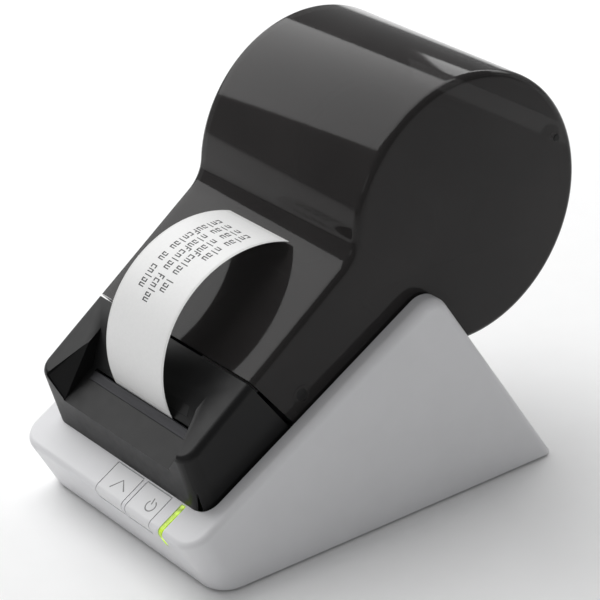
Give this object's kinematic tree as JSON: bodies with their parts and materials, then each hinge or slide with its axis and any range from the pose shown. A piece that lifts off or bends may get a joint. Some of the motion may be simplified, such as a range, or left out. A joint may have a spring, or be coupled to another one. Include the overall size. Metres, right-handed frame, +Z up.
{
  "type": "thermal label printer",
  "caption": "Desktop thermal label printer: wedge base with side wings, black slotted bezel, hinged smoked drum lid over a label roll, geared platen drive.",
  "frame": {"origin": "centre of the object's bounding box, on the desk under the feet", "axes": "+X to the right seen from the front, +Y from the front deck to the rear drum, +Z up"},
  "size_m": [0.1184, 0.1977, 0.1736],
  "materials": {
    "shell_plastic": "satin",
    "smoked_plastic": "gloss",
    "black_plastic": "matte",
    "grey_plastic": "matte",
    "rubber": "matte",
    "steel": "brushed",
    "aluminium": "satin",
    "brass": "satin",
    "nylon": "satin",
    "board": "satin",
    "green_light": "lit",
    "ceramic": "gloss",
    "paper": "matte",
    "cardboard": "matte"
  },
  "bodies": {
    "case": {"base_shell": "shell_plastic", "base_plate": "grey_plastic", "foot_1": "rubber", "foot_2": "rubber", "foot_3": "rubber", "foot_4": "rubber", "base_screw_1": "steel", "base_screw_2": "steel", "base_screw_3": "steel", "base_screw_4": "steel", "port_panel": "shell_plastic", "usb_socket": "steel", "dc_jack": "black_plastic", "main_board": "board", "board_chips": "black_plastic", "light_pipe": "green_light", "switch_board": "board", "tact_switches": "black_plastic", "status_led": "green_light", "bezel": "black_plastic", "tear_bar": "steel", "mech_frame": "steel", "bush_left": "brass", "bush_right": "brass", "idler_post": "steel", "drive_motor": "aluminium", "head_pivot_pin": "steel", "paper_guide": "black_plastic", "label_sensor": "black_plastic", "roll_bin": "grey_plastic", "cradle_left": "grey_plastic", "cradle_right": "grey_plastic", "label_web": "paper", "label_strip": "paper", "label_face": "paper", "hinge_pin_left": "steel", "hinge_pin_right": "steel"},
    "lid": {"lid": "smoked_plastic"},
    "feed_button": {"button_feed": "shell_plastic"},
    "power_button": {"button_power": "shell_plastic"},
    "spool": {"spool_shaft": "grey_plastic", "roll_core": "cardboard", "label_roll": "paper"},
    "flange": {"flange_sliding": "grey_plastic"},
    "platen": {"platen_shaft": "steel", "platen_roller": "rubber", "platen_gear": "nylon"},
    "idler": {"idler_gear": "nylon"},
    "rotor": {"motor_shaft": "steel", "motor_pinion": "nylon"},
    "head": {"head_heatsink": "aluminium", "print_head": "ceramic"}
  },
  "joints": [
    {"name": "lid_hinge", "type": "hinge", "parent": "case", "child": "lid", "pos_m": [0, 0.08849, 0.1358], "axis": [-1, 0, 0], "range_deg": [0, 75], "deforming": ["label_strip", "label_face"]},
    {"name": "feed_press", "type": "slide", "parent": "case", "child": "feed_button", "axis": [0, 0.5, -0.866], "range_m": [0, 0.0005], "stiffness_N_per_m": 400, "springref_m": -0.0005},
    {"name": "power_press", "type": "slide", "parent": "case", "child": "power_button", "axis": [0, 0.5, -0.866], "range_m": [0, 0.0005], "stiffness_N_per_m": 400, "springref_m": -0.0005},
    {"name": "spool_spin", "type": "hinge", "parent": "case", "child": "spool", "pos_m": [0, 0.04329, 0.118], "axis": [1, 0, 0], "continuous": true},
    {"name": "flange_slide", "type": "slide", "parent": "spool", "child": "flange", "axis": [1, 0, 0], "range_m": [0, 0.012]},
    {"name": "platen_spin", "type": "hinge", "parent": "case", "child": "platen", "pos_m": [0, -0.06821, 0.048], "axis": [1, 0, 0], "continuous": true},
    {"name": "idler_spin", "type": "hinge", "parent": "case", "child": "idler", "pos_m": [0, -0.05776, 0.03555], "axis": [1, 0, 0], "continuous": true},
    {"name": "motor_spin", "type": "hinge", "parent": "case", "child": "rotor", "pos_m": [0, -0.05344, 0.02366], "axis": [1, 0, 0], "continuous": true},
    {"name": "head_pivot", "type": "hinge", "parent": "case", "child": "head", "pos_m": [0, -0.06771, 0.0358], "axis": [1, 0, 0], "range_deg": [0, 3], "stiffness_Nm_per_rad": 0.5, "springref_deg": -11.46}
  ],
  "couplings": [
    {"joint": "platen_spin", "follows": "spool_spin", "ratio": 5.36},
    {"joint": "idler_spin", "follows": "spool_spin", "ratio": -4.288},
    {"joint": "motor_spin", "follows": "spool_spin", "ratio": 10.72}
  ]
}
